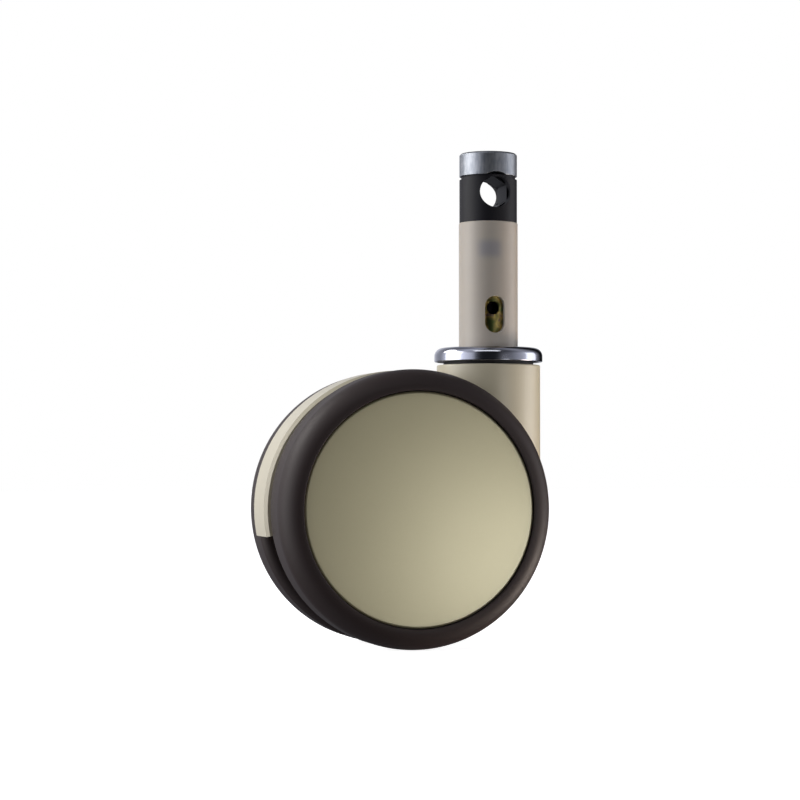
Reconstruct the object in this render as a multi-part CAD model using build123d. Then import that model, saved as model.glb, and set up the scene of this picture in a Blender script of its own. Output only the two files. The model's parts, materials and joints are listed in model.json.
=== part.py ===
from build123d import *
import os
from math import acos, atan2, cos, degrees, hypot, radians, sin, sqrt

# A swivelling castor with two wheels and a plug-in stem for central locking.
# Millimetres. The origin is the centre of the collar's top face, where the stem
# meets the frame's socket. X points ahead of the swivel axis, so the wheels trail
# towards -X. Y is along the axle, with the near wheel towards -Y. Z is up.

# Overall
wheel_d = 150.0
mount_height = 163.4
trail = 52.0
slide_fit = 0.05
close_gap = 0.1
free_gap = 0.5

# Stem, a turned bar in a moulded sleeve
stem_d = 26.0
sleeve_d = 32.7
sleeve_len = 69.6
sleeve_seat = 0.6
sleeve_chamfer = 0.4
sleeve_top_chamfer = 0.5
sleeve_slot_w = 11.2
sleeve_slot_h = 20.4
sleeve_slot_z = 18.0
screw_hole_d = 6.65
screw_hole_depth = 7.0
screw_hole_z = 21.7
screw_x = -0.9
screw_flat_h = 7.1
screw_flat_cut = 0.6
screw_chamfer = 0.8
key_flat_w = 11.6
key_flat_h = 8.9
key_flat_z = 54.2
key_flat_cut = 1.4
key_flat_turn = -13.0
stem_neck_d = 20.0
stem_neck_top = 65.0
stem_neck_len = 7.5
flange_d = 40.0
flange_t = 4.4
kingpin_d = 16.0
kingpin_end_z = -75.5
kingpin_chamfer = 1.0
kingpin_taper = 4.0
kingpin_groove = 0.9
spring_bore_d = 14.6
spring_bore_depth = 22.0
housing_pin_d = 3.0

# Cam housing, cap and cam at the stem's top
cam_z = 85.8
head_d = 32.0
head_top = 95.35
reveal_h = 1.85
reveal_cut = 1.0
window_d = 17.6
cap_h = 12.75
cap_chamfer = 0.9
hex_af = 16.0
cam_barrel_d = 22.0
cam_len = 17.0
cam_lobe_w = 8.0
cam_turn = 30.0
rod_travel = 1.5
cam_reach = 12.8
cam_tip_turn = 33.0
cam_heel_turn = -34.0

# Push rod
rod_d = 8.0
rod_head_d = 18.0
rod_head_t = 4.0
rod_head_chamfer = 0.4
rod_end_z = -79.0
rod_end_r = 8.0
spring_wire_d = 1.4
spring_turns = 6.5
spring_gap = 0.6

# Collar and swivel bearing
collar_d = 60.0
collar_h = 7.8
collar_round = 4.6
collar_wall = 1.6
column_d = 57.4
column_edge = 0.8
column_top = -9.5
seal_d = 49.8
seal_lip_w = 3.2
seal_rise = 1.2
top_bearing_bore = 30.0
top_bearing_d = 47.0
top_bearing_w = 9.0
top_ball_d = 4.8
top_ball_count = 12
bearing_relief_h = 1.5
bearing_cone_h = 5.0
bush_wall = 2.0
bush_top_z = -50.0
boss_bottom_z = -71.0
washer_t = 1.2
clip_t = 1.1
clip_reach = 2.0
clip_mouth = 5.0
washer_reach = 2.6

# Swivel housing between the wheels
web_w = 24.8
cavity_w = 16.8
hood_w = 29.6
hood_r = 75.0
hood_set_back = 2.7
hood_wall = 4.0
hood_chamfer = 1.8
hood_end_deg = 191.4
hood_lip_gap = 0.9
arch_gap = 1.5
axle_boss_d = 34.0
axle_boss_core_d = 30.0
kingpin_boss_wall = 4.0
column_bottom_z = -100.0
column_foot_r = 16.0
column_skirt_z = -88.0
column_cavity_x = 20.0
cavity_end_deg = 200.0

# Axle and wheel bearings
axle_d = 15.0
axle_len = 78.0
axle_chamfer = 0.8
axle_groove = 0.8
axle_clip_reach = 1.7
axle_clip_mouth = 4.0
wheel_bearing_d = 35.0
wheel_bearing_w = 11.0
wheel_bearing_from = 24.5
wheel_ball_d = 6.0
wheel_ball_count = 8
race_wall = 3.2
spacer_wall = 2.5

# Wheel, measured outwards from the plane midway between the wheels
wheel_inner = 13.0
wheel_outer = 48.0
tread_from = 18.5
tread_to = 33.7
outer_round_h = 11.2
tyre_lip = 0.4
tyre_edge = 1.0
tyre_seat_d = 120.0
tyre_key_h = 2.5
tyre_key_slope = 1.0
tyre_key_from = 22.0
tyre_key_to = 34.0
rim_wall = 5.5
rim_to = 43.0
core_web_from = 26.0
core_web_t = 4.5
hub_d = 45.0
hub_to = 38.0
hub_lip_h = 1.8
hub_lip_w = 2.0
drum_boss_w = 5.0
drum_boss_step = 0.5
rib_count = 10
rib_t = 2.6
rib_step = 1.0
disc_d = 125.8
disc_edge = 46.4
disc_t = 2.6
disc_crown = 0.8
disc_edge_round = 0.7
disc_gap = 0.35
skirt_wall = 2.4
skirt_from = 36.5
drum_d = 68.0
drum_wall = 3.0
drum_w = 8.2

# Brake lever, shoe and linings
lever_pivot_ahead = 8.0
lever_pivot_rise = 56.4
lever_t = 8.0
lever_pin_d = 6.0
lever_eye_d = 16.0
lever_foot_h = 7.0
lever_arm_w = 13.0
lever_heel_x = -17.0
lever_bend_z = -60.0
shoe_mid_deg = 55.0
shoe_half_deg = 12.0
shoe_t = 5.8
lining_t = 2.85
lining_gap = 1.35
shoe_w = 43.0
shoe_window_gap = 1.6

wheel_r = wheel_d / 2
axle_x = -trail
axle_z = wheel_r - mount_height
lever_pivot_x = axle_x + lever_pivot_ahead
lever_pivot_z = axle_z + lever_pivot_rise
cam_lift = 2 * rod_travel / radians(2 * cam_turn)


def turned(*outline):
    """A solid turned about Z from corners given as radius and height."""
    face = Plane.XZ * make_face(Polyline(*outline, close=True))
    return revolve(face, Axis.Z)


def ring(outer_r, inner_r, low, high):
    """A plain ring about Z."""
    return turned((inner_r, low), (outer_r, low), (outer_r, high), (inner_r, high))


def rod(radius, low, high):
    """A plain round bar about Z."""
    return Pos(0, 0, low) * extrude(Circle(radius), high - low)


def bar_along_y(radius, x, z, start, end):
    """A plain round bar along Y."""
    return Pos(x, start, z) * Rot(-90, 0, 0) * extrude(Circle(radius), end - start)


def side_plate(face, low, high):
    """A face drawn in X and Z, made a plate from Y low to Y high."""
    return Pos(0, high, 0) * extrude(Plane.XZ * face, high - low)


def on_axle(piece, side):
    """Turns a piece drawn about Z so that its Z points out of a wheel, and puts it on the axle."""
    return Pos(axle_x, 0, axle_z) * Rot(-90 * side, 0, 0) * piece


def axle_polar(radius, angle):
    """A point in X and Z at this radius and angle about the axle."""
    turn = radians(angle)
    return (axle_x + radius * cos(turn), axle_z + radius * sin(turn))


def axle_sector(inner_r, outer_r, start, end):
    """A curved strip about the axle, drawn in X and Z, between two angles."""
    mid = (start + end) / 2
    outer = ThreePointArc(*[axle_polar(outer_r, a) for a in (start, mid, end)])
    inner = ThreePointArc(*[axle_polar(inner_r, a) for a in (end, mid, start)])
    return make_face([outer, Line(outer @ 1, inner @ 0), inner, Line(inner @ 1, outer @ 0)])


def race_pair(bore_r, outer_r, width, ball_d):
    """The inner and outer rings of a ball bearing, centred on the origin, with grooves for the balls."""
    pitch = (bore_r + outer_r) / 2
    groove = revolve(Plane.XZ * Pos(pitch, 0) * Circle(ball_d / 2 + close_gap), Axis.Z)
    half = width / 2
    wall = min(race_wall, (outer_r - bore_r) / 2 - ball_d / 4)
    inner = ring(bore_r + wall, bore_r, -half, half) - groove
    outer = ring(outer_r, outer_r - wall, -half, half) - groove
    return inner, outer


def ball_ring(bore_r, outer_r, ball_d, count):
    """The balls of a bearing, evenly spaced on its pitch circle."""
    pitch = (bore_r + outer_r) / 2
    spots = PolarLocations(pitch, count).locations
    return [spot * Sphere(ball_d / 2) for spot in spots]


def stem():
    """The turned bar: kingpin, flange, body, neck, bore for the push rod and spring."""
    inner_ring_top = column_top
    flange_top = -collar_wall
    flange_low = flange_top - flange_t
    seat_low = inner_ring_top - top_bearing_w
    shoulder_r = top_bearing_bore / 2 + race_wall
    body_r = stem_d / 2
    body_top = stem_neck_top - stem_neck_len
    bar = turned(
        (0, kingpin_end_z), (kingpin_d / 2 - kingpin_chamfer, kingpin_end_z),
        (kingpin_d / 2, kingpin_end_z + kingpin_chamfer),
        (kingpin_d / 2, seat_low - kingpin_taper), (top_bearing_bore / 2, seat_low),
        (top_bearing_bore / 2, inner_ring_top), (shoulder_r, inner_ring_top),
        (shoulder_r, flange_low), (flange_d / 2, flange_low), (flange_d / 2, flange_top),
        (body_r, flange_top), (body_r, body_top), (stem_neck_d / 2, body_top),
        (stem_neck_d / 2, stem_neck_top), (0, stem_neck_top),
    )
    bar -= rod(rod_d / 2 + slide_fit, kingpin_end_z - 1, stem_neck_top + 1)
    bar -= rod(spring_bore_d / 2, stem_neck_top - spring_bore_depth, stem_neck_top + 1)
    clip_top = boss_bottom_z - close_gap - washer_t
    bar -= ring(kingpin_d, kingpin_d / 2 - kingpin_groove, clip_top - clip_t, clip_top)
    bar -= screw_seat()
    bar -= key_seat()
    pin_z = stem_neck_top - stem_neck_len / 2
    bar -= bar_along_y(housing_pin_d / 2, 0, pin_z, -stem_d, stem_d)
    return bar


def screw_seat():
    """The spot face and tapped hole for the fixing screw, behind the sleeve's slot."""
    hole_r = screw_hole_d / 2
    face_y = -stem_d / 2 + screw_flat_cut
    flat = Pos(0, face_y - stem_d / 2, screw_hole_z) * Box(stem_d, stem_d, screw_flat_h)
    hole = bar_along_y(hole_r, screw_x, screw_hole_z, face_y - 1, face_y + screw_hole_depth)
    place = Pos(screw_x, face_y, screw_hole_z) * Rot(-90, 0, 0)
    mouth = place * turned((0, 0), (hole_r + screw_chamfer, 0), (hole_r, screw_chamfer), (0, screw_chamfer))
    return [flat, hole, mouth]


def key_seat():
    """The small flat milled in the bar under the sleeve, which shows through it."""
    depth = stem_d / 2
    cut = Pos(0, -stem_d / 2 + key_flat_cut - depth / 2, key_flat_z) * Box(key_flat_w, depth, key_flat_h)
    return Rot(0, 0, key_flat_turn) * cut


def stem_sleeve():
    """The moulded sleeve that fills the socket: its foot sits in the collar, and a slot clears the screw."""
    outer_r = sleeve_d / 2
    sleeve = turned(
        (stem_d / 2, -sleeve_seat), (outer_r - sleeve_chamfer, -sleeve_seat), (outer_r, 0),
        (outer_r, sleeve_len - sleeve_top_chamfer), (outer_r - sleeve_top_chamfer, sleeve_len),
        (stem_d / 2, sleeve_len),
    )
    slot = SlotOverall(sleeve_slot_h, sleeve_slot_w, rotation=90)
    return sleeve - Pos(screw_x, 0, sleeve_slot_z) * extrude(Plane.XZ * slot, sleeve_d)


def cam_chamber():
    """The room in the cam housing: a cradle for the barrel, room for the lobe and for the rod's head."""
    barrel_r = cam_barrel_d / 2 + close_gap
    half = cam_len / 2 + close_gap
    room = bar_along_y(barrel_r, 0, cam_z, -half, half)
    room += Pos(0, 0, cam_z + barrel_r) * Box(2 * barrel_r, 2 * half, 2 * barrel_r)
    tip_x, tip_z = cam_flank(cam_tip_turn)
    tip_r = hypot(tip_x, tip_z)
    lobe_gap = 2 * close_gap
    lobe_half = cam_lobe_w / 2 + lobe_gap
    furthest = tip_r * sin(atan2(tip_x, -tip_z) + radians(cam_turn)) + lobe_gap
    lobe_room = bar_along_y(tip_r + lobe_gap, 0, cam_z, -lobe_half, lobe_half)
    lobe_room &= Pos(0, 0, cam_z - head_d / 2) * Box(2 * furthest, head_d, head_d)
    room += lobe_room
    room += rod(rod_head_d / 2 + 3 * close_gap, stem_neck_top, cam_z)
    return room


def cam_housing():
    """The black moulding around the cam, with a window on each side for the operating bar."""
    low = stem_neck_top - stem_neck_len
    body_r = head_d / 2
    groove_low = head_top - reveal_h
    block = turned(
        (stem_neck_d / 2, low), (stem_d / 2, low), (stem_d / 2, sleeve_len), (body_r, sleeve_len),
        (body_r, groove_low), (body_r - reveal_cut, groove_low), (body_r - reveal_cut, head_top),
        (0, head_top), (0, stem_neck_top), (stem_neck_d / 2, stem_neck_top),
    )
    block -= cam_chamber()
    block -= bar_along_y(window_d / 2, 0, cam_z, -head_d, head_d)
    pin_z = stem_neck_top - stem_neck_len / 2
    block -= bar_along_y(housing_pin_d / 2, 0, pin_z, -head_d, head_d)
    return block


def end_cap():
    """The plated cap, with a lower boss that holds the cam down in its cradle."""
    body_r = head_d / 2
    top = head_top + cap_h
    cap = turned(
        (0, head_top), (body_r, head_top), (body_r, top - cap_chamfer),
        (body_r - cap_chamfer, top), (0, top),
    )
    boss_low = cam_z + cam_barrel_d / 4
    barrel_r = cam_barrel_d / 2
    boss_h = head_top - boss_low
    cap += Pos(0, 0, boss_low + boss_h / 2) * Box(2 * barrel_r, cam_len, boss_h)
    return cap - bar_along_y(barrel_r + close_gap, 0, cam_z, -head_d, head_d)


def housing_pin():
    """The pin that fixes the cam housing to the stem's neck, in two halves either side of the rod."""
    pin_z = stem_neck_top - stem_neck_len / 2
    start = spring_bore_d / 2 + close_gap
    radius = housing_pin_d / 2
    end = sqrt((stem_d / 2) ** 2 - radius ** 2)
    return [bar_along_y(radius, 0, pin_z, start, end), bar_along_y(radius, 0, pin_z, -end, -start)]


def cam_reach_at(turn):
    """How far the cam reaches down to the follower when turned by this many degrees."""
    return cam_reach + cam_lift * radians(turn)


def cam_flank(turn):
    """The point of the cam that bears on the flat follower at this turn, about the cam's axis."""
    reach = cam_reach_at(turn)
    a = radians(turn)
    return (reach * sin(a) + cam_lift * cos(a), cam_lift * sin(a) - reach * cos(a))


def lock_cam():
    """The locking cam: a barrel with a hexagon socket and a lobe of steady lift."""
    steps = 9
    span = cam_tip_turn - cam_heel_turn
    flank = Spline(*[cam_flank(cam_heel_turn + span * i / (steps - 1)) for i in range(steps)])
    lobe = make_face([flank, Line(flank @ 1, (0, 0)), Line((0, 0), flank @ 0)])
    half = cam_len / 2
    cam = side_plate(Circle(cam_barrel_d / 2), -half, half)
    cam += side_plate(lobe, -cam_lobe_w / 2, cam_lobe_w / 2)
    socket = RegularPolygon(hex_af / 2, 6, major_radius=False, rotation=30)
    cam -= side_plate(socket, -cam_len, cam_len)
    return Pos(0, 0, cam_z) * cam


def push_rod():
    """The rod from the cam to the brake lever, with a flat head and a round end."""
    head_top_z = cam_z - cam_reach - slide_fit
    head_low_z = head_top_z - rod_head_t
    round_z = rod_end_z + rod_end_r
    tip = Pos(0, 0, round_z) * Sphere(rod_end_r)
    bar = rod(rod_d / 2, round_z, head_low_z) + (tip & rod(rod_d / 2, rod_end_z, round_z))
    head = turned(
        (0, head_low_z), (rod_head_d / 2, head_low_z), (rod_head_d / 2, head_top_z - rod_head_chamfer),
        (rod_head_d / 2 - rod_head_chamfer, head_top_z), (0, head_top_z),
    )
    return bar + head


def return_spring():
    """The coil spring in the stem's top bore, which lifts the rod against the cam."""
    low = stem_neck_top - spring_bore_depth + spring_wire_d / 2
    high = cam_z - cam_reach - slide_fit - rod_head_t - spring_wire_d / 2
    coil_r = (spring_bore_d - spring_wire_d) / 2 - spring_gap
    path = Helix((high - low) / spring_turns, high - low, coil_r)
    start = Plane(path @ 0, z_dir=path % 0)
    wire = sweep(start * RegularPolygon(spring_wire_d / 2, 6), path, is_frenet=True)
    return Pos(0, 0, low) * wire


def swivel_collar():
    """The chromed cover over the swivel head, with a rounded shoulder and a recess for the sleeve's foot."""
    outer_r = collar_d / 2
    inner_r = outer_r - collar_wall
    bore_r = stem_d / 2
    seat_r = sleeve_d / 2 + slide_fit
    round_in = collar_round - collar_wall
    low = -collar_h
    outline = [
        Polyline((bore_r, -collar_wall), (bore_r, -sleeve_seat), (seat_r, -sleeve_seat), (seat_r, 0),
                 (outer_r - collar_round, 0)),
        CenterArc((outer_r - collar_round, -collar_round), collar_round, 0, 90),
        Line((outer_r, -collar_round), (outer_r, low)),
        Line((outer_r, low), (inner_r, low)),
        Line((inner_r, low), (inner_r, -collar_round)),
        CenterArc((outer_r - collar_round, -collar_round), round_in, 0, 90),
        Line((outer_r - collar_round, -collar_wall), (bore_r, -collar_wall)),
    ]
    return revolve(Plane.XZ * make_face(outline), Axis.Z)


def swivel_seal():
    """The rubber ring in the gap between the collar and the column."""
    outer_r = seal_d / 2
    inner_r = top_bearing_bore / 2 + race_wall + free_gap
    lip_r = outer_r - seal_lip_w
    high = -collar_h + seal_rise
    return turned(
        (inner_r, column_top), (outer_r, column_top), (outer_r, -collar_h + free_gap / 2),
        (lip_r, high), (inner_r, high),
    )


def top_bearing_pair():
    """The rings of the swivel's ball bearing, in their seat at the column's top."""
    inner, outer = race_pair(top_bearing_bore / 2, top_bearing_d / 2, top_bearing_w, top_ball_d)
    place = Pos(0, 0, column_top - top_bearing_w / 2)
    return place * inner, place * outer


def top_bearing_balls():
    """The balls of the swivel's bearing."""
    balls = ball_ring(top_bearing_bore / 2, top_bearing_d / 2, top_ball_d, top_ball_count)
    return [Pos(0, 0, column_top - top_bearing_w / 2) * ball for ball in balls]


def kingpin_bush():
    """The plain bush that steadies the kingpin's lower end."""
    return ring(kingpin_d / 2 + bush_wall, kingpin_d / 2 + slide_fit, boss_bottom_z + free_gap, bush_top_z)


def kingpin_washer():
    """The washer under the column's boss, which carries the housing when the castor is lifted."""
    high = boss_bottom_z - close_gap
    return ring(kingpin_d / 2 + washer_reach, kingpin_d / 2, high - washer_t, high)


def kingpin_clip():
    """The open retaining ring in the kingpin's groove."""
    high = boss_bottom_z - close_gap - washer_t
    clip = ring(kingpin_d / 2 + clip_reach, kingpin_d / 2 - kingpin_groove, high - clip_t, high)
    return clip - Pos(-kingpin_d / 2, 0, high - clip_t / 2) * Box(kingpin_d, clip_mouth, 2 * clip_t)


def web_outline():
    """The housing's side view between the wheels: hood, column foot and axle boss."""
    hood_x = axle_x - hood_set_back
    end = (hood_x + hood_r * cos(radians(hood_end_deg)), axle_z + hood_r * sin(radians(hood_end_deg)))
    right = column_d / 2
    reach = degrees(acos(-hood_x / hood_r))
    top = CenterArc((hood_x, axle_z), hood_r, hood_end_deg, reach - hood_end_deg)
    foot = column_bottom_z
    boss_r = axle_boss_d / 2
    corners = Polyline(
        top @ 1, (right, (top @ 1).Y), (right, foot + column_foot_r), (right - column_foot_r, foot),
        (axle_x, axle_z - boss_r), (axle_x - boss_r, axle_z - hood_wall),
        (end[0] + 2 * hood_wall, end[1] + hood_wall), end,
    )
    return make_face([top, corners])


def cavity_outline():
    """The hollow between the housing's two walls, open below, with the kingpin's boss left solid."""
    radius = hood_r - hood_wall
    centre_x = axle_x - hood_set_back
    boss_x = -kingpin_d / 2 - bush_wall - kingpin_boss_wall
    start = degrees(acos((boss_x - centre_x) / radius))
    arc = CenterArc((centre_x, axle_z), radius, start, cavity_end_deg - start)
    deep = axle_z - wheel_r
    rest = Polyline(
        arc @ 1, (centre_x - radius, deep), (column_cavity_x, deep),
        (column_cavity_x, boss_bottom_z), (boss_x, boss_bottom_z), arc @ 0,
    )
    return make_face([arc, rest])


def shoe_window():
    """The opening in each wall of the housing that the brake shoe reaches through."""
    gap = degrees(shoe_window_gap / (drum_d / 2))
    low_r = drum_d / 2 + lining_gap
    high_r = low_r + lining_t + shoe_t
    return axle_sector(low_r - shoe_window_gap, high_r + shoe_window_gap,
                       shoe_mid_deg - shoe_half_deg - gap, shoe_mid_deg + shoe_half_deg + gap)


def swivel_housing():
    """The cast housing: column, arches over the tyres, hood and the hollow web between the wheels."""
    column = rod(column_d / 2, column_skirt_z, column_top)
    column = fillet(column.edges().group_by(Axis.Z)[-1], column_edge)
    arch = bar_along_y(wheel_r + arch_gap, axle_x, axle_z, web_w / 2, wheel_d)
    column -= arch + mirror(arch, Plane.XZ)
    web = side_plate(web_outline(), -web_w / 2, web_w / 2)
    behind = Pos(-wheel_d, 0, axle_z) * Box(2 * wheel_d, wheel_d, 2 * wheel_d)
    web &= behind + rod(column_d / 2, axle_z - wheel_d, column_top)
    hood_x = axle_x - hood_set_back
    band = bar_along_y(hood_r, hood_x, axle_z, -hood_w / 2, hood_w / 2)
    band = chamfer(band.edges().filter_by(GeomType.CIRCLE), hood_chamfer)
    band -= bar_along_y(wheel_r - hood_lip_gap, axle_x, axle_z, -hood_w, hood_w)
    band &= hood_sector()
    shell = column + web + band
    shell -= side_plate(cavity_outline(), -cavity_w / 2, cavity_w / 2)
    shell -= rod(kingpin_d / 2 + washer_reach + free_gap, kingpin_end_z, boss_bottom_z)
    shell += bar_along_y(axle_boss_core_d / 2, axle_x, axle_z, -web_w / 2, web_w / 2)
    pivot_boss = bar_along_y(lever_pin_d, lever_pivot_x, lever_pivot_z, lever_t / 2 + close_gap, cavity_w / 2)
    shell += pivot_boss + mirror(pivot_boss, Plane.XZ)
    shell -= side_plate(shoe_window(), -web_w, web_w)
    shell -= swivel_bores()
    shell -= bar_along_y(axle_d / 2, axle_x, axle_z, -web_w, web_w)
    shell -= bar_along_y(lever_pin_d / 2, lever_pivot_x, lever_pivot_z, -web_w, web_w)
    return shell


def hood_sector():
    """The part of the side view that the hood's broad rim covers, from the column to its end."""
    far = 2 * hood_r
    hood_x = axle_x - hood_set_back
    corner = (hood_x + far * cos(radians(hood_end_deg)), axle_z + far * sin(radians(hood_end_deg)))
    face = make_face(Polyline(
        (hood_x, axle_z), corner, (hood_x - far, axle_z + far), (-column_d / 4, axle_z + far),
        (-column_d / 4, axle_z + hood_r / 2), close=True))
    return side_plate(face, -hood_w, hood_w)


def swivel_bores():
    """The seats in the column for the upper bearing, the kingpin and its bush."""
    seat_low = column_top - top_bearing_w
    relief_r = top_bearing_d / 2 - race_wall
    return turned(
        (0, boss_bottom_z - 1), (kingpin_d / 2 + bush_wall, boss_bottom_z - 1),
        (kingpin_d / 2 + bush_wall, bush_top_z), (kingpin_d / 2 + free_gap, bush_top_z),
        (kingpin_d / 2 + free_gap, seat_low - bearing_cone_h),
        (relief_r, seat_low - bearing_relief_h), (relief_r, seat_low),
        (top_bearing_d / 2, seat_low), (top_bearing_d / 2, column_top + 1), (0, column_top + 1),
    )


def axle():
    """The steel axle through the housing's boss, grooved near each end for a clip."""
    half = axle_len / 2
    groove_from = wheel_bearing_from + wheel_bearing_w
    bar = turned(
        (0, -half), (axle_d / 2 - axle_chamfer, -half), (axle_d / 2, -half + axle_chamfer),
        (axle_d / 2, half - axle_chamfer), (axle_d / 2 - axle_chamfer, half), (0, half),
    )
    groove = ring(axle_d, axle_d / 2 - axle_groove, groove_from, groove_from + clip_t)
    bar -= groove + mirror(groove, Plane.XY)
    return on_axle(bar, 1)


def axle_clip(side):
    """The open retaining ring that keeps a wheel's bearing on the axle."""
    low = wheel_bearing_from + wheel_bearing_w
    clip = ring(axle_d / 2 + axle_clip_reach, axle_d / 2 - axle_groove, low, low + clip_t)
    clip -= Pos(-axle_d / 2, 0, low + clip_t / 2) * Box(axle_d, axle_clip_mouth, 2 * clip_t)
    return on_axle(clip, side)


def axle_spacer(side):
    """The tube between the housing's boss and a wheel's inner ring."""
    return on_axle(ring(axle_d / 2 + spacer_wall, axle_d / 2, web_w / 2, wheel_bearing_from), side)


def wheel_races(side):
    """The rings of a wheel's ball bearing."""
    inner, outer = race_pair(axle_d / 2, wheel_bearing_d / 2, wheel_bearing_w, wheel_ball_d)
    place = Pos(0, 0, wheel_bearing_from + wheel_bearing_w / 2)
    return on_axle(place * inner, side), on_axle(place * outer, side)


def wheel_balls(side):
    """The balls of a wheel's bearing."""
    place = Pos(0, 0, wheel_bearing_from + wheel_bearing_w / 2)
    balls = ball_ring(axle_d / 2, wheel_bearing_d / 2, wheel_ball_d, wheel_ball_count)
    return [on_axle(place * ball, side) for ball in balls]


def tyre(side):
    """The tyre, moulded on the rim, with a broad rounded outer shoulder around the cover disc."""
    seat_r = tyre_seat_d / 2
    mouth_r = disc_d / 2 + disc_gap
    inner_round = tread_from - wheel_inner
    shoulder_r = wheel_r - outer_round_h
    outline = [
        Line((seat_r, wheel_inner + tyre_edge), (seat_r + tyre_edge, wheel_inner)),
        Line((seat_r + tyre_edge, wheel_inner), (wheel_r - inner_round, wheel_inner)),
        CenterArc((wheel_r - inner_round, tread_from), inner_round, -90, 90),
        Line((wheel_r, tread_from), (wheel_r, tread_to)),
        EllipticalCenterArc((shoulder_r, tread_to), outer_round_h, wheel_outer - tread_to, arc_size=90),
        Polyline((shoulder_r, wheel_outer), (mouth_r + tyre_lip, wheel_outer),
                 (mouth_r, wheel_outer - tyre_lip), (mouth_r, rim_to), (seat_r, rim_to), (seat_r, tyre_key_to),
                 (seat_r - tyre_key_h, tyre_key_to - tyre_key_slope),
                 (seat_r - tyre_key_h, tyre_key_from + tyre_key_slope),
                 (seat_r, tyre_key_from), (seat_r, wheel_inner + tyre_edge)),
    ]
    return on_axle(revolve(Plane.XZ * make_face(outline), Axis.Z), side)


def wheel_core(side):
    """The moulded centre: rim, web, hub, brake boss and ribs under the cover."""
    seat_r = tyre_seat_d / 2
    rim_r = seat_r - rim_wall
    hub_r = hub_d / 2
    bearing_r = wheel_bearing_d / 2
    boss_r = drum_d / 2 - drum_wall
    boss_in = boss_r - drum_boss_w
    boss_from = wheel_inner + tyre_edge + drum_boss_step
    rim_from = wheel_inner + tyre_edge
    lip_r = bearing_r - hub_lip_w
    lip_from = wheel_bearing_from - hub_lip_h
    web_to = core_web_from + core_web_t
    core = turned(
        (lip_r, lip_from), (hub_r, lip_from), (hub_r, core_web_from), (boss_in, core_web_from),
        (boss_in, boss_from), (boss_r, boss_from), (boss_r, core_web_from), (rim_r, core_web_from),
        (rim_r, rim_from), (seat_r, rim_from), (seat_r, tyre_key_from),
        (seat_r - tyre_key_h, tyre_key_from + tyre_key_slope),
        (seat_r - tyre_key_h, tyre_key_to - tyre_key_slope),
        (seat_r, tyre_key_to), (seat_r, rim_to), (rim_r, rim_to), (rim_r, web_to),
        (hub_r, web_to), (hub_r, hub_to), (bearing_r, hub_to), (bearing_r, wheel_bearing_from),
        (lip_r, wheel_bearing_from),
    )
    rib_to = skirt_from - rib_step
    rib_box = Box(rim_r - hub_r + rib_step, rib_t, rib_to - web_to + rib_step)
    rib = Pos((hub_r + rim_r) / 2, 0, (web_to + rib_to) / 2) * rib_box
    for spot in PolarLocations(0, rib_count).locations:
        core += spot * rib
    return on_axle(core, side)


def cover_disc(side):
    """The crowned cover that snaps into the rim with a round skirt."""
    outer_r = disc_d / 2
    skirt_r = tyre_seat_d / 2 - rim_wall
    skirt_in = skirt_r - skirt_wall
    crown = disc_edge + disc_crown
    back = disc_edge - disc_t
    round_r = disc_edge_round
    outline = [
        Line((0, crown - disc_t), (0, crown)),
        ThreePointArc((0, crown), (outer_r / 2, disc_edge + 0.75 * disc_crown),
                      (outer_r - round_r, disc_edge)),
        CenterArc((outer_r - round_r, disc_edge - round_r), round_r, 90, -90),
        Polyline((outer_r, disc_edge - round_r), (outer_r, back), (skirt_r, back), (skirt_r, skirt_from),
                 (skirt_in, skirt_from), (skirt_in, back)),
        Line((skirt_in, back), (0, crown - disc_t)),
    ]
    return on_axle(revolve(Plane.XZ * make_face(outline), Axis.Z), side)


def brake_drum(side):
    """The steel ring on the wheel's inner boss that the linings press on."""
    outer_r = drum_d / 2
    low = wheel_inner + tyre_edge
    return on_axle(ring(outer_r, outer_r - drum_wall, low, low + drum_w), side)


def brake_shoe():
    """The bar across the housing that carries a lining at each end."""
    low_r = drum_d / 2 + lining_gap + lining_t
    face = axle_sector(low_r, low_r + shoe_t, shoe_mid_deg - shoe_half_deg, shoe_mid_deg + shoe_half_deg)
    return side_plate(face, -shoe_w / 2, shoe_w / 2)


def brake_lining(side):
    """A friction lining under one end of the shoe."""
    low_r = drum_d / 2 + lining_gap
    face = axle_sector(low_r, low_r + lining_t, shoe_mid_deg - shoe_half_deg, shoe_mid_deg + shoe_half_deg)
    lining = side_plate(face, wheel_inner + tyre_edge, shoe_w / 2)
    return lining if side > 0 else mirror(lining, Plane.XZ)


def brake_lever():
    """The bent lever from its pivot, past the shoe, to the foot under the push rod."""
    foot_top = rod_end_z - close_gap
    foot_low = foot_top - lever_foot_h
    eye_r = lever_eye_d / 2
    back_x = lever_heel_x - lever_arm_w
    heel = lever_arm_w / 3
    arm = make_face(Polyline(
        (lever_pivot_x + eye_r * 0.7, lever_pivot_z + eye_r * 0.7), (lever_heel_x, lever_bend_z),
        (lever_heel_x, foot_top - heel / 2), (lever_heel_x + heel, foot_top), (rod_d, foot_top),
        (rod_d, foot_low), (lever_heel_x - heel, foot_low), (back_x, foot_top),
        (back_x, lever_bend_z - heel), (lever_pivot_x - eye_r * 0.6, lever_pivot_z - eye_r * 0.8),
        close=True))
    lever = side_plate(arm, -lever_t / 2, lever_t / 2)
    lever += bar_along_y(eye_r, lever_pivot_x, lever_pivot_z, -lever_t / 2, lever_t / 2)
    lever -= bar_along_y(lever_pin_d / 2 + slide_fit, lever_pivot_x, lever_pivot_z, -lever_t, lever_t)
    return lever - brake_shoe()


def lever_pin():
    """The pin that the lever turns on, through both walls of the housing."""
    return bar_along_y(lever_pin_d / 2, lever_pivot_x, lever_pivot_z, -web_w / 2, web_w / 2)


SIDES = {"near": -1, "far": 1}


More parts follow.
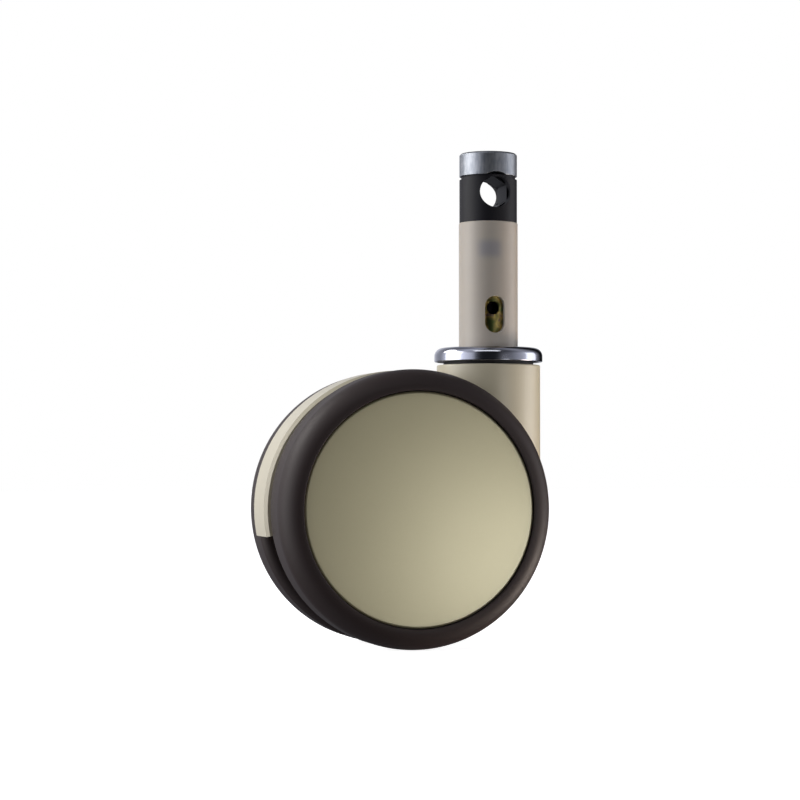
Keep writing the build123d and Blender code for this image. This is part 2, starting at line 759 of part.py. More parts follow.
def all_parts():
    top_inner, top_outer = top_bearing_pair()
    parts = {
        "stem": stem(),
        "stem_sleeve": stem_sleeve(),
        "cam_housing": cam_housing(),
        "housing_pin": housing_pin(),
        "end_cap": end_cap(),
        "lock_cam": lock_cam(),
        "push_rod": push_rod(),
        "return_spring": return_spring(),
        "swivel_collar": swivel_collar(),
        "swivel_seal": swivel_seal(),
        "top_bearing_inner": top_inner,
        "top_bearing_outer": top_outer,
        "top_bearing_balls": top_bearing_balls(),
        "kingpin_bush": kingpin_bush(),
        "kingpin_washer": kingpin_washer(),
        "kingpin_clip": kingpin_clip(),
        "swivel_housing": swivel_housing(),
        "axle": axle(),
        "axle_clips": [axle_clip(side) for side in SIDES.values()],
        "lever_pin": lever_pin(),
        "brake_lever": brake_lever(),
        "brake_shoe": brake_shoe(),
        "brake_linings": [brake_lining(side) for side in SIDES.values()],
    }
    for name, side in SIDES.items():
        inner, outer = wheel_races(side)
        parts["axle_spacer_" + name] = axle_spacer(side)
        parts["bearing_inner_" + name] = inner
        parts["bearing_outer_" + name] = outer
        parts["bearing_balls_" + name] = wheel_balls(side)
        parts["tyre_" + name] = tyre(side)
        parts["wheel_core_" + name] = wheel_core(side)
        parts["cover_disc_" + name] = cover_disc(side)
        parts["brake_drum_" + name] = brake_drum(side)
    return parts


os.makedirs("parts", exist_ok=True)
for part_name, shape in all_parts().items():
    solids = shape if isinstance(shape, list) else [shape]
    export_step(Compound(children=[s for one in solids for s in one.solids()]), f"parts/{part_name}.step")
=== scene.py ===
import json
from math import cos, pi, radians, sin

import bmesh
import bpy
from mathutils import Matrix, Vector

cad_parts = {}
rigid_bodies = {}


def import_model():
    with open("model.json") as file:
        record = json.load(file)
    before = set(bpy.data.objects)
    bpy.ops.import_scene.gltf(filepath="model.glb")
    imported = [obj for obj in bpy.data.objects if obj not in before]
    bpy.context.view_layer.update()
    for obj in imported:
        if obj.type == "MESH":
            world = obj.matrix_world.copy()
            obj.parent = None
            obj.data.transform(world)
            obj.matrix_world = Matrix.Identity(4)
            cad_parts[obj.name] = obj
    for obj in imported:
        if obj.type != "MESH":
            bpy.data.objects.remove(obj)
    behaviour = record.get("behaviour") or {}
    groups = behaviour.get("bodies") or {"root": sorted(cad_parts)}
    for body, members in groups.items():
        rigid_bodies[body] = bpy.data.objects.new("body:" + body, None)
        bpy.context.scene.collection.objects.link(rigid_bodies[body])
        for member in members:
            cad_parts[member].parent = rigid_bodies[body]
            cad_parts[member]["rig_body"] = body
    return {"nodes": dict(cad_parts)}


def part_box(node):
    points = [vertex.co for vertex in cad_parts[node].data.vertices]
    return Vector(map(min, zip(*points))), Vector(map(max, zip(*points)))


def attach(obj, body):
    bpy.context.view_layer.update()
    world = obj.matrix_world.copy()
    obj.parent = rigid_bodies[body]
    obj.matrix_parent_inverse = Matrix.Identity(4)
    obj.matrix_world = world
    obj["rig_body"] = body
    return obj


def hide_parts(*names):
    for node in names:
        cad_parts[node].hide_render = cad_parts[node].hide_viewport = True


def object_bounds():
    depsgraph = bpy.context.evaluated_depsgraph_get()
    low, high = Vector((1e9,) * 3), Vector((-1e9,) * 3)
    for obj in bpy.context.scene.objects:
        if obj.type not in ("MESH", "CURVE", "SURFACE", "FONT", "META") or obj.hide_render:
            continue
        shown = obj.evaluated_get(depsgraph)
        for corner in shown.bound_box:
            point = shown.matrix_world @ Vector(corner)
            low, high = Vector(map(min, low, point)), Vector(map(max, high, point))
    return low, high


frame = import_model()
cad_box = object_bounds()
mm = 0.001

# The stem is a bar turned from steel and yellow chromated. It carries the whole castor.
# Its lower end is the kingpin. A spot face, a chamfered screw hole and a milled key flat
# lie on its front, under the sleeve.


class Socket:
    """One value in a finish, with the arithmetic that its pattern needs, on either side."""

    def __init__(self, finish, link):
        self.finish = finish
        self.link = link

    def calculate(self, operation, first, second=0.0):
        return self.finish.node("Math", {"operation": operation}, {0: first, 1: second})

    def __add__(self, other):
        return self.calculate("ADD", self, other)

    def __radd__(self, other):
        return self.calculate("ADD", other, self)

    def __sub__(self, other):
        return self.calculate("SUBTRACT", self, other)

    def __rsub__(self, other):
        return self.calculate("SUBTRACT", other, self)

    def __mul__(self, other):
        return self.calculate("MULTIPLY", self, other)

    def __rmul__(self, other):
        return self.calculate("MULTIPLY", other, self)

    def __pow__(self, other):
        return self.calculate("POWER", self, other)

    def __abs__(self):
        return self.calculate("ABSOLUTE", self)


class Finish:
    """A procedural finish: a shader's constants, and patterns on the object's coordinates."""

    def __init__(self, name, **constants):
        self.material = bpy.data.materials.new(name)
        self.material.use_nodes = True
        self.tree = self.material.node_tree
        self.shader = self.tree.nodes["Principled BSDF"]
        for socket, value in constants.items():
            self.shader.inputs[socket.replace("_", " ")].default_value = value
        self.place = self.node("TexCoord", output="Object")

    def node(self, kind, settings=None, sockets=None, output=0):
        """Any node: its settings first, then the values or links of its sockets."""
        made = self.tree.nodes.new("ShaderNode" + kind)
        for name, value in (settings or {}).items():
            if name == "stops":
                ramp = made.color_ramp
                while len(ramp.elements) < len(value):
                    ramp.elements.new(0.5)
                for element, (position, tint) in zip(ramp.elements, value):
                    element.position = position
                    element.color = tint
            else:
                setattr(made, name, value)
        for name, value in (sockets or {}).items():
            if isinstance(value, Socket):
                self.tree.links.new(value.link, made.inputs[name])
            else:
                made.inputs[name].default_value = value
        return Socket(self, made.outputs[output])

    def noise(self, size, detail=3.0, stretch=(1.0, 1.0, 1.0)):
        """An uneven pattern from 0 to 1, with spots of this size, drawn out along the axes."""
        scale = [1 / (size * share) for share in stretch]
        spot = self.node("Mapping", {}, {"Vector": self.place, "Scale": scale})
        return self.node("TexNoise", {}, {"Vector": spot, "Scale": 1.0, "Detail": detail})

    def steps(self, value, low, high):
        """0 below low, 1 above high and a smooth rise between them."""
        return self.node("MapRange", {"interpolation_type": "SMOOTHSTEP"},
                         {"Value": value, "From Min": low, "From Max": high})

    def blend(self, share, first, second):
        """A colour between two, by share."""
        return self.node("Mix", {"data_type": "RGBA"}, {0: share, 6: first, 7: second}, 2)

    def ramp(self, value, *stops):
        """A colour looked up along a row of tints."""
        return self.node("ValToRGB", {"stops": stops}, {0: value})

    def put(self, socket, value):
        """Links a pattern to one of the shader's sockets."""
        self.tree.links.new(value.link, self.shader.inputs[socket])

    def relief(self, height, depth):
        """Gives the surface this height pattern as relief, depth metres from low to high."""
        bump = {"Strength": 1.0, "Distance": depth, "Height": height}
        self.put("Normal", self.node("Bump", {}, bump))


def tint(red, green, blue):
    """A colour as an eye sees it, 0 to 255 a channel, as the light that a shader works in."""
    shares = [channel / 255 for channel in (red, green, blue)]
    return tuple(s / 12.92 if s <= 0.04045 else ((s + 0.055) / 1.055) ** 2.4 for s in shares) + (1.0,)


def softened(node, edge, sharp=28.0):
    """A solid's form with its facets joined and its sharp edges broken by a small round."""
    shape = bmesh.new()
    shape.from_mesh(frame["nodes"][node].data)
    bmesh.ops.remove_doubles(shape, verts=shape.verts, dist=0.001 * mm)
    bmesh.ops.dissolve_limit(shape, angle_limit=radians(0.3), verts=shape.verts, edges=shape.edges)
    crests = [e for e in shape.edges if len(e.link_faces) == 2 and e.calc_face_angle() > radians(sharp)]
    bmesh.ops.bevel(shape, geom=crests, offset=edge, affect="EDGES", segments=2, profile=0.5,
                    material=-1, clamp_overlap=True)
    return shape


def piece(name, shape, finish, node, smooth_deg=40.0):
    """Makes a shape a finished piece that stands for a CAD node and moves with its body."""
    mesh = bpy.data.meshes.new(name)
    shape.to_mesh(mesh)
    shape.free()
    mesh.shade_smooth()
    mesh.set_sharp_from_angle(angle=radians(smooth_deg))
    made = bpy.data.objects.new(name, mesh)
    bpy.context.scene.collection.objects.link(made)
    even = made.modifiers.new("even_shading", "WEIGHTED_NORMAL")
    even.keep_sharp = True
    mesh.materials.append(finish.material)
    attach(made, frame["nodes"][node]["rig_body"])
    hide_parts(node)


screw_hole_x = -0.9 * mm
screw_hole_z = 21.7 * mm
screw_hole_r = 3.325 * mm
screw_hole_mouth = -12.2 * mm
hole_edge = 0.25 * mm
hole_shade = 0.8 * mm
film_patch = 4.5 * mm
turning_pitch = 0.12 * mm
turning_stretch = (60.0, 60.0, 1.0)
turning_depth = 0.006 * mm
stem_edge = 0.15 * mm
chromate = Finish("yellow_chromate", Metallic=1.0)
place_x = chromate.node("SeparateXYZ", {}, {0: chromate.place}, "X")
place_y = chromate.node("SeparateXYZ", {}, {0: chromate.place}, "Y")
place_z = chromate.node("SeparateXYZ", {}, {0: chromate.place}, "Z")
drift = chromate.noise(film_patch, detail=1.0)
film = chromate.ramp(
    drift, (0.34, tint(94, 104, 60)), (0.47, tint(136, 124, 76)), (0.58, tint(176, 156, 90)),
    (0.68, tint(142, 120, 98)))
from_axis_x = place_x - screw_hole_x
from_axis_z = place_z - screw_hole_z
off_axis = (from_axis_x * from_axis_x + from_axis_z * from_axis_z) ** 0.5
# Painted shade: the inside of the screw hole is painted near-black, from a blurred rim inward and
# deeper than the hole's mouth.
inside_rim = 1 - chromate.steps(off_axis, screw_hole_r, screw_hole_r + hole_edge)
below_mouth = chromate.steps(place_y, screw_hole_mouth, screw_hole_mouth + hole_shade)
painted_hole_shade = inside_rim * below_mouth
chromate.put("Base Color", chromate.blend(painted_hole_shade, film, tint(16, 12, 14)))
turning = chromate.noise(turning_pitch, detail=1.0, stretch=turning_stretch)
chromate.put("Roughness", 0.24 + turning * 0.14)
chromate.relief(turning, turning_depth)
piece("stem_bar", softened("stem", stem_edge), chromate, "stem")

# Small steel parts inside the stem: the pin that holds the cam housing, the push rod and
# its return spring. They are ground or drawn, oiled, and fitted before the cap closes them in.


def dress(node, finish):
    """Gives a CAD node its finish."""
    for slot in frame["nodes"][node].material_slots:
        slot.material = finish.material


grinding_pitch = 0.2 * mm
grinding_depth = 0.004 * mm
drawing_pitch = 0.3 * mm
steel = Finish("ground_steel", Metallic=1.0, Base_Color=tint(186, 186, 188))
grinding = steel.noise(grinding_pitch, detail=2.0, stretch=(1.0, 20.0, 20.0))
steel.put("Roughness", 0.26 + grinding * 0.2)
steel.relief(grinding, grinding_depth)
spring_wire = Finish("drawn_spring_wire", Metallic=1.0, Base_Color=tint(150, 150, 156))
drawing = spring_wire.noise(drawing_pitch, detail=2.0)
spring_wire.put("Roughness", 0.3 + drawing * 0.15)
dress("housing_pin", steel)
dress("push_rod", steel)
dress("return_spring", spring_wire)

# The sleeve is moulded from milky nylon and pressed over the bar. It is a little
# translucent, and the key flat behind it is painted into its colour as a soft darker patch of painted
# shade. A slot in its front leaves the screw hole open.
sleeve_edge = 0.12 * mm
cloud_size = 9 * mm
skin_size = 0.35 * mm
skin_depth = 0.004 * mm
light_reach = 2 * mm
milky = Finish("milky_nylon", Roughness=0.42, Subsurface_Weight=0.25, Subsurface_Scale=light_reach)
milky.shader.inputs["Subsurface Radius"].default_value = (1.0, 0.8, 0.6)
# Painted shade: a soft darker patch on the sleeve's front where the key flat lies behind it.
key_flat_half_w = 5.8 * mm
key_flat_half_h = 4.45 * mm
key_flat_z = 54.2 * mm
key_flat_x = -3.7 * mm
key_blur = 2.8 * mm
key_shadow_strength = 0.65
front_from = -8 * mm
front_to = -10 * mm
across = milky.node("SeparateXYZ", {}, {0: milky.place}, "X")
inward = milky.node("SeparateXYZ", {}, {0: milky.place}, "Y")
upward = milky.node("SeparateXYZ", {}, {0: milky.place}, "Z")
beside = milky.steps(
    abs(across - key_flat_x), key_flat_half_w - key_blur, key_flat_half_w + key_blur)
beyond = milky.steps(
    abs(upward - key_flat_z), key_flat_half_h - key_blur, key_flat_half_h + key_blur)
in_front = milky.steps(inward, front_from, front_to)
key_shadow = (1 - beside) * (1 - beyond) * in_front
clouds = milky.noise(cloud_size, detail=2.0)
plain = milky.blend(clouds, tint(165, 157, 147), tint(172, 164, 153))
milky.put("Base Color", milky.blend(key_shadow * key_shadow_strength, plain, tint(128, 130, 138)))
skin = milky.noise(skin_size, detail=2.0)
milky.relief(skin, skin_depth)
piece("sleeve_moulding", softened("stem_sleeve", sleeve_edge), milky,
      "stem_sleeve")

# The locking cam is a zinc die casting, blackened, with a hexagon socket for the operating
# bar. It lies in a cradle in the cam housing and turns 30 degrees each way.
cast_skin_size = 0.5 * mm
cast_skin_depth = 0.02 * mm
cam_edge = 0.2 * mm
zinc_casting = Finish("zinc_casting", Metallic=1.0)
cast_skin = zinc_casting.noise(cast_skin_size, detail=4.0)
zinc_casting.put("Base Color", zinc_casting.blend(cast_skin, tint(34, 34, 37), tint(50, 50, 54)))
zinc_casting.put("Roughness", 0.38 + cast_skin * 0.2)
zinc_casting.relief(cast_skin, cast_skin_depth)
piece("cam_casting", softened("lock_cam", cam_edge), zinc_casting, "lock_cam")

# The cam housing is moulded from black nylon, with a round window on each side that the
# operating bar passes through. A step at its top leaves a dark line under the cap.
grain_size = 0.25 * mm
grain_depth = 0.006 * mm
cam_housing_edge = 0.2 * mm
black = Finish("black_nylon", Specular_IOR_Level=0.22)
grain = black.noise(grain_size, detail=3.0)
black.put("Base Color", black.blend(grain, tint(14, 13, 18), tint(20, 19, 25)))
black.put("Roughness", 0.46 + grain * 0.12)
black.relief(grain, grain_depth)
piece("cam_housing_moulding", softened("cam_housing", cam_housing_edge), black,
      "cam_housing")

# The cap is turned from steel and zinc plated. It closes the cam housing, and its boss
# underneath holds the cam down. The plating is bright, with faint streaks from the tool.
streak_w = 0.7 * mm
streak_stretch = (1.0, 1.0, 9.0)
blotch_size = 2.6 * mm
blotch_stretch = (1.0, 1.0, 2.0)
plating_depth = 0.005 * mm
cap_edge = 0.25 * mm
plating = Finish("zinc_plating", Metallic=1.0)
streaks = plating.noise(streak_w, detail=3.0, stretch=streak_stretch)
blotches = plating.noise(blotch_size, detail=4.0, stretch=blotch_stretch)
mottle = plating.steps(streaks * 0.5 + blotches * 0.5, 0.36, 0.64)
plating.put("Base Color", plating.blend(mottle, tint(128, 132, 139), tint(153, 156, 161)))
plating.put("Roughness", 0.38 + streaks * 0.1)
plating.relief(streaks + blotches, plating_depth)
piece("cap_turning", softened("end_cap", cap_edge), plating, "end_cap")

# The collar is pressed from steel sheet, polished and chromed. It covers the swivel
# bearing, and its flat top carries the frame's socket. Its shoulder is one round bend.


def bend(centre, width, height, start, end, steps):
    """Points on a round or oval bend about a centre, as radius and height, in degrees."""
    turns = [radians(start + (end - start) * i / steps) for i in range(steps + 1)]
    return [(centre[0] + width * cos(turn), centre[1] + height * sin(turn)) for turn in turns]


def turned(outline, steps=144):
    """A shape turned about Z from radius and height points. Those on the axis become a pole."""
    shape = bmesh.new()
    corners = [shape.verts.new((radius, 0.0, height)) for radius, height in outline]
    solid = outline[0][0] == 0 and outline[-1][0] == 0
    around = corners[1:] if solid else corners[1:] + corners[:1]
    edges = [shape.edges.new(pair) for pair in zip(corners, around)]
    bmesh.ops.spin(shape, geom=corners + edges, axis=(0, 0, 1), cent=(0, 0, 0), steps=steps,
                   angle=2 * pi, use_merge=True)
    bmesh.ops.remove_doubles(shape, verts=shape.verts, dist=0.0005 * mm)
    bmesh.ops.recalc_face_normals(shape, faces=shape.faces)
    return shape


collar_low, collar_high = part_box("swivel_collar")
collar_r = collar_high.x
collar_wall = 1.6 * mm
collar_round = 4.6 * mm
collar_bore = 13 * mm
sleeve_seat_r = 16.4 * mm
sleeve_seat = 0.6 * mm
rim_round = 0.5 * mm
haze_size = 6 * mm
shoulder = (collar_r - collar_round, collar_high.z - collar_round)
rim = (collar_r - collar_wall / 2, collar_low.z + rim_round)
collar_shape = turned(
    [(collar_bore, collar_high.z - collar_wall), (collar_bore, collar_high.z - sleeve_seat),
     (sleeve_seat_r, collar_high.z - sleeve_seat), (sleeve_seat_r, collar_high.z)]
    + bend(shoulder, collar_round, collar_round, 90, 0, 14)
    + bend(rim, collar_wall / 2, rim_round, 0, -180, 8)
    + bend(shoulder, collar_round - collar_wall, collar_round - collar_wall, 0, 90, 8)
)
chrome = Finish("polished_chrome", Metallic=1.0, Base_Color=tint(178, 180, 191))
haze = chrome.noise(haze_size, detail=3.0)
chrome.put("Roughness", 0.13 + haze * 0.05)
piece("collar_pressing", collar_shape, chrome, "swivel_collar")

# The swivel bearing is a deep-groove ball bearing between the stem and the column. Its
# rings are ground and its balls polished. A dark rubber ring seals the gap above it.
lapping_pitch = 0.4 * mm
bloom_size = 1.5 * mm
seal_edge = 0.3 * mm
bearing_steel = Finish("bearing_steel", Metallic=1.0, Base_Color=tint(200, 200, 203))
lapping = bearing_steel.noise(lapping_pitch, detail=2.0)
bearing_steel.put("Roughness", 0.12 + lapping * 0.1)
for node in ("top_bearing_inner", "top_bearing_outer", "top_bearing_balls"):
    dress(node, bearing_steel)
rubber = Finish("seal_rubber")
bloom = rubber.noise(bloom_size, detail=3.0)
rubber.put("Base Color", rubber.blend(bloom, tint(26, 25, 26), tint(38, 37, 38)))
rubber.put("Roughness", 0.5 + bloom * 0.15)
piece("seal_ring", softened("swivel_seal", seal_edge), rubber, "swivel_seal")

# The swivel housing is one aluminium casting: the column, the hollow web between the
# wheels and the hood over them. It is sprayed satin beige, with a faint orange peel.
shade_size = 14 * mm
peel_size = 0.7 * mm
peel_depth = 0.006 * mm
housing_edge = 0.5 * mm
paint = Finish("beige_paint", Specular_IOR_Level=0.5, Coat_Weight=0.5, Coat_Roughness=0.3)
shade = paint.noise(shade_size, detail=2.0)
paint.put("Base Color", paint.blend(shade, tint(188, 180, 156), tint(194, 186, 162)))
peel = paint.noise(peel_size, detail=2.0)
paint.put("Roughness", 0.36 + peel * 0.08)
paint.relief(peel, peel_depth)
piece("housing_casting", softened("swivel_housing", housing_edge), paint,
      "swivel_housing")

# The kingpin's lower end runs in a sintered bronze bush and is kept by a washer and an
# open retaining ring.
pore_size = 0.18 * mm
pore_depth = 0.01 * mm
bronze = Finish("sintered_bronze", Metallic=1.0)
pores = bronze.noise(pore_size, detail=3.0)
bronze.put("Base Color", bronze.blend(pores, tint(128, 96, 58), tint(176, 140, 88)))
bronze.put("Roughness", 0.35 + pores * 0.25)
bronze.relief(pores, pore_depth)
dress("kingpin_bush", bronze)
dress("kingpin_washer", steel)
dress("kingpin_clip", spring_wire)

# The axle is a ground steel bar through the housing's boss. Spacers, ball bearings and
# open retaining rings set the wheels on it.
dress("axle", steel)
dress("axle_clips", spring_wire)
for side in ("near", "far"):
    dress("axle_spacer_" + side, steel)
    for part in ("bearing_inner_", "bearing_outer_", "bearing_balls_"):
        dress(part + side, bearing_steel)

# The brake is a bent steel lever on a pin, with a bar across it that reaches through the
# housing's walls. The push rod presses the lever, and the bar presses a lining on each drum.
fibre_size = 0.3 * mm
fibre_depth = 0.03 * mm
lever_edge = 0.4 * mm
shoe_edge = 0.3 * mm
lining = Finish("friction_lining")
fibres = lining.noise(fibre_size, detail=4.0)
lining.put("Base Color", lining.ramp(
    fibres, (0.35, tint(58, 50, 44)), (0.55, tint(104, 90, 76)), (0.66, tint(150, 132, 104))))
lining.put("Roughness", 0.75 + fibres * 0.15)
lining.relief(fibres, fibre_depth)
piece("lever_forging", softened("brake_lever", lever_edge), steel, "brake_lever")
piece("shoe_bar", softened("brake_shoe", shoe_edge), steel, "brake_shoe")
dress("brake_linings", lining)
dress("lever_pin", steel)

# Each wheel's core is moulded from dark glass-filled nylon, with a ribbed web, a hub for
# the bearing and a boss that carries the steel brake drum.
fleck_size = 0.4 * mm
fleck_depth = 0.01 * mm
core_edge = 0.25 * mm
nylon = Finish("glass_filled_nylon")
fleck = nylon.noise(fleck_size, detail=4.0)
nylon.put("Base Color", nylon.blend(fleck, tint(44, 41, 41), tint(58, 54, 53)))
nylon.put("Roughness", 0.45 + fleck * 0.15)
nylon.relief(fleck, fleck_depth)
for side in ("near", "far"):
    piece("core_moulding_" + side, softened("wheel_core_" + side, core_edge), nylon,
          "wheel_core_" + side)
    dress("brake_drum_" + side, steel)

# The tyres are moulded polyurethane, dark brown and satin. The tread is flat, the inner
# shoulder is tight and the outer one is a broad oval that runs in to the cover's edge.
tyre_low, tyre_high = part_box("tyre_near")
wheel_r = (tyre_high.z - tyre_low.z) / 2
axle_x = (tyre_low.x + tyre_high.x) / 2
axle_z = (tyre_low.z + tyre_high.z) / 2
wheel_inner = -tyre_high.y
wheel_outer = 48 * mm
tread_from = 18.5 * mm
tread_to = 33.7 * mm
outer_round_h = 11.2 * mm
seat_r = 60 * mm
seat_key = 2.5 * mm
seat_key_from = 22 * mm
seat_key_to = 34 * mm
rim_to = 43 * mm
disc_r = 62.9 * mm
disc_gap = 0.35 * mm
corner_round = 1 * mm
inner_round = tread_from - wheel_inner
mouth_r = disc_r + disc_gap
lip_round = 0.4 * mm
satin_size = 0.5 * mm
satin_depth = 0.005 * mm
batch_size = 30 * mm
wheel_steps = 192


def on_axle(shape, side):
    """Puts a shape turned about Z on the axle, with its top facing out of the near or far wheel."""
    turn = {"near": 90, "far": -90}[side]
    place = Matrix.Translation((axle_x, 0, axle_z)) @ Matrix.Rotation(radians(turn), 4, "X")
    bmesh.ops.transform(shape, matrix=place, verts=shape.verts)
    return shape


def tyre_outline():
    """The tyre's section, from the inner corner of its seat round the tread to the cover's mouth."""
    shoulder = (wheel_r - outer_round_h, tread_to)
    lip = (mouth_r + lip_round, wheel_outer - lip_round)
    return (
        [(seat_r, wheel_inner + corner_round), (seat_r + corner_round, wheel_inner)]
        + bend((wheel_r - inner_round, tread_from), inner_round, inner_round, -90, 0, 10)
        + bend(shoulder, outer_round_h, wheel_outer - tread_to, 0, 90, 28)
        + bend(lip, lip_round, lip_round, 90, 180, 3)
        + [(mouth_r, rim_to), (seat_r, rim_to), (seat_r, seat_key_to),
           (seat_r - seat_key, seat_key_to - corner_round),
           (seat_r - seat_key, seat_key_from + corner_round), (seat_r, seat_key_from)]
    )


polyurethane = Finish("tyre_polyurethane", Specular_IOR_Level=0.22)
satin = polyurethane.noise(satin_size, detail=3.0)
batch = polyurethane.noise(batch_size, detail=1.0)
polyurethane.put("Base Color", polyurethane.blend(batch, tint(46, 38, 37), tint(50, 41, 40)))
polyurethane.put("Roughness", 0.48 + satin * 0.08)
polyurethane.relief(satin, satin_depth)
for side in ("near", "far"):
    piece("tyre_moulding_" + side, on_axle(turned(tyre_outline(), wheel_steps), side),
          polyurethane, "tyre_" + side)

# The cover discs are moulded, slightly crowned and sprayed champagne metallic. Each snaps
# into its rim with a round skirt and leaves a fine gap to the tyre.
disc_edge = 46.4 * mm
disc_t = 2.6 * mm
disc_crown = 0.8 * mm
disc_edge_round = 1.3 * mm
skirt_r = 54.5 * mm
skirt_wall = 2.4 * mm
skirt_from = 36.5 * mm
flake_size = 0.22 * mm
sheen_size = 26 * mm


def disc_outline():
    """The cover's section, from its middle over the crowned face to the skirt and back inside."""
    rings = 12
    flat_r = disc_r - disc_edge_round
    shares = [ring / rings for ring in range(rings)]
    crown = [(flat_r * share, disc_edge + disc_crown * (1 - share ** 2)) for share in shares]
    inside = [
        (radius, height - disc_t) for radius, height in reversed(crown)
        if radius < skirt_r - skirt_wall]
    return (
        crown
        + bend((flat_r, disc_edge - disc_edge_round), disc_edge_round, disc_edge_round, 90, 0, 5)
        + [(disc_r, disc_edge - disc_t), (skirt_r, disc_edge - disc_t), (skirt_r, skirt_from),
           (skirt_r - skirt_wall, skirt_from), (skirt_r - skirt_wall, disc_edge - disc_t)]
        + inside
    )


champagne = Finish("champagne_metallic", Metallic=0.55, Coat_Weight=0.3, Coat_Roughness=0.25)
flakes = champagne.noise(flake_size, detail=1.0)
sheen = champagne.noise(sheen_size, detail=1.0)
pigment = champagne.blend(sheen, tint(170, 163, 132), tint(174, 167, 136))
champagne.put("Base Color", champagne.blend(flakes * 0.35, pigment, tint(196, 189, 156)))
champagne.put("Roughness", 0.34 + flakes * 0.05)
for side in ("near", "far"):
    piece("disc_cover_" + side, on_axle(turned(disc_outline(), wheel_steps), side), champagne,
          "cover_disc_" + side)

# The studio: a plain pale floor, a tall softbox at each side, a small one behind on the left
# for the edges, a low one at the front right that lights the cover, a warm glow from the
# right ground, a strip overhead, a dim room, and the camera at the photograph's view.
floor_half = 6.0
floor_gap = 0.2 * mm
floor_shape = bmesh.new()
bmesh.ops.create_grid(floor_shape, x_segments=1, y_segments=1, size=floor_half)
bmesh.ops.translate(floor_shape, verts=floor_shape.verts, vec=(0, 0, cad_box[0].z - floor_gap))
floor_mesh = bpy.data.meshes.new("floor")
floor_shape.to_mesh(floor_mesh)
floor_shape.free()
floor = bpy.data.objects.new("floor", floor_mesh)
bpy.context.scene.collection.objects.link(floor)
floor.visible_diffuse = False
floor.visible_glossy = False
floor.visible_shadow = False
pale = Finish("pale_floor", Roughness=0.9, Base_Color=(0.8, 0.8, 0.8, 1.0), Emission_Strength=0.9)
pale.shader.inputs["Emission Color"].default_value = (1.0, 1.0, 1.0, 1.0)
floor_mesh.materials.append(pale.material)

aim = Vector((-26 * mm, 0, -40 * mm))


def softbox(name, azimuth, elevation, distance, width, height, power, colour=(1.0, 1.0, 1.0)):
    """A soft light aimed at the castor: angles in degrees, lengths in metres, power in watts."""
    lamp = bpy.data.lights.new(name, "AREA")
    lamp.shape = "RECTANGLE"
    lamp.size = width
    lamp.size_y = height
    lamp.energy = power
    lamp.color = colour
    light = bpy.data.objects.new(name, lamp)
    turn, rise = radians(azimuth), radians(elevation)
    away = Vector((sin(turn) * cos(rise), -cos(turn) * cos(rise), sin(rise)))
    light.location = aim + away * distance
    light.rotation_mode = "QUATERNION"
    light.rotation_quaternion = away.to_track_quat("Z", "Y")
    bpy.context.scene.collection.objects.link(light)


warm_white = (1.0, 0.985, 0.95)
cool_white = (0.99, 0.99, 1.0)
ground_tan = (1.0, 0.84, 0.7)
softbox("left_softbox", -99, 8, 1.0, 0.76, 1.3, 6.6, warm_white)
softbox("left_rim_softbox", -122, 36, 1.0, 0.4, 0.4, 4.0, warm_white)
softbox("right_softbox", 86, -8, 1.0, 0.56, 1.2, 3.0, cool_white)
softbox("low_right_softbox", 21, -9, 0.85, 0.22, 0.18, 0.88)
softbox("ground_glow", 80, -28, 0.8, 0.4, 0.3, 4.6, ground_tan)
softbox("top_softbox", -20, 54, 1.0, 0.8, 0.26, 1.2)


class Room(Finish):
    """The studio's surroundings, made with a finish's nodes on the direction of sight."""

    def __init__(self, name):
        self.world = bpy.data.worlds.new(name)
        self.world.use_nodes = True
        self.tree = self.world.node_tree
        self.shader = self.tree.nodes["Background"]
        self.place = self.node("TexCoord", output="Generated")


room = Room("studio")
bpy.context.scene.world = room.world
sideways = room.node("SeparateXYZ", {}, {0: room.place}, "X")
backwards = room.node("SeparateXYZ", {}, {0: room.place}, "Y")
height = room.node("SeparateXYZ", {}, {0: room.place}, "Z")
bearing = room.node("Math", {"operation": "ARCTAN2"}, {0: sideways, 1: backwards * -1.0})
round_share = room.node("MapRange", {}, {"Value": bearing, "From Min": -pi, "From Max": pi})
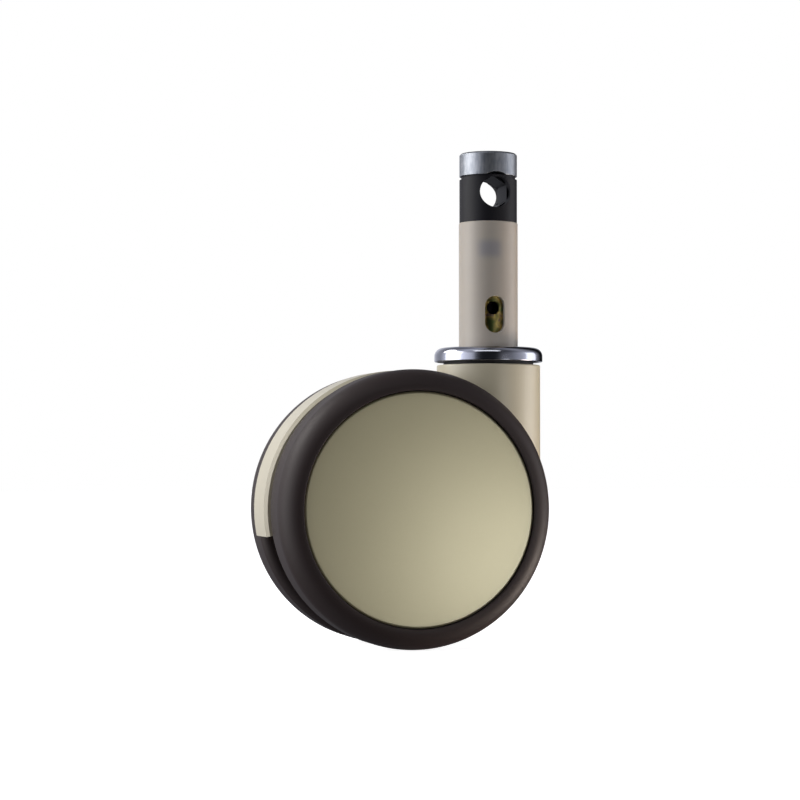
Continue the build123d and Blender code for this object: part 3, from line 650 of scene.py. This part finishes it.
# How bright the room is by compass bearing, from the wall behind the castor: the left wall,
# the dark camera side, the spill of the right light and the right wall. The room is dimmer
# towards the ground and the ceiling.
wall_light = [
    (-180, 0.8), (-160, 0.5), (-140, 0.4), (-122, 0.9), (-78, 1.7), (-64, 1.15), (-52, 0.8),
    (-43, 0.12), (-33, 0.015), (2, 0.015), (12, 0.1), (34, 0.24), (58, 0.6), (74, 1.0), (98, 0.7),
    (112, 0.2), (126, 0.0), (144, 0.0), (160, 0.5), (180, 0.8)]
wall_tint = (0.94, 0.96, 1.06)
wall_peak = 2.0
ground_share = 0.2
ground_from = -0.35
ground_to = -0.05
ceiling_share = 0.45
ceiling_from = 0.3
ceiling_to = 0.6
wall_stops = [
    ((azimuth + 180) / 360, tuple(channel * level / wall_peak for channel in wall_tint) + (1.0,))
    for azimuth, level in wall_light]
room.put("Color", room.ramp(round_share, *wall_stops))
above_ground = room.node("MapRange", {}, {
    "Value": height, "From Min": ground_from, "From Max": ground_to,
    "To Min": wall_peak * ground_share, "To Max": wall_peak})
below_ceiling = room.node("MapRange", {}, {
    "Value": height, "From Min": ceiling_from, "From Max": ceiling_to,
    "To Min": 1.0, "To Max": ceiling_share})
room.put("Strength", above_ground * below_ceiling)
surroundings = Socket(room, room.shader.outputs[0])
backdrop = room.node("Background", {}, {"Color": (1.0, 1.0, 1.0, 1.0)})
to_camera = room.node("LightPath", output="Is Camera Ray")
sight = room.node("MixShader", {}, {0: to_camera, 1: surroundings, 2: backdrop})
room.tree.links.new(sight.link, room.tree.nodes["World Output"].inputs["Surface"])
bpy.context.scene.view_settings.view_transform = "Standard"

focal_length = 103.26
camera_at = (-377.24 * mm, -1217.52 * mm, -61.84 * mm)
camera_looks = Vector((0.2589, 0.9656, 0.0260))
lens = bpy.data.cameras.new("camera")
lens.lens = focal_length
camera = bpy.data.objects.new("camera", lens)
camera.location = camera_at
camera.rotation_mode = "QUATERNION"
camera.rotation_quaternion = camera_looks.to_track_quat("-Z", "Y")
bpy.context.scene.collection.objects.link(camera)
bpy.context.scene.camera = camera
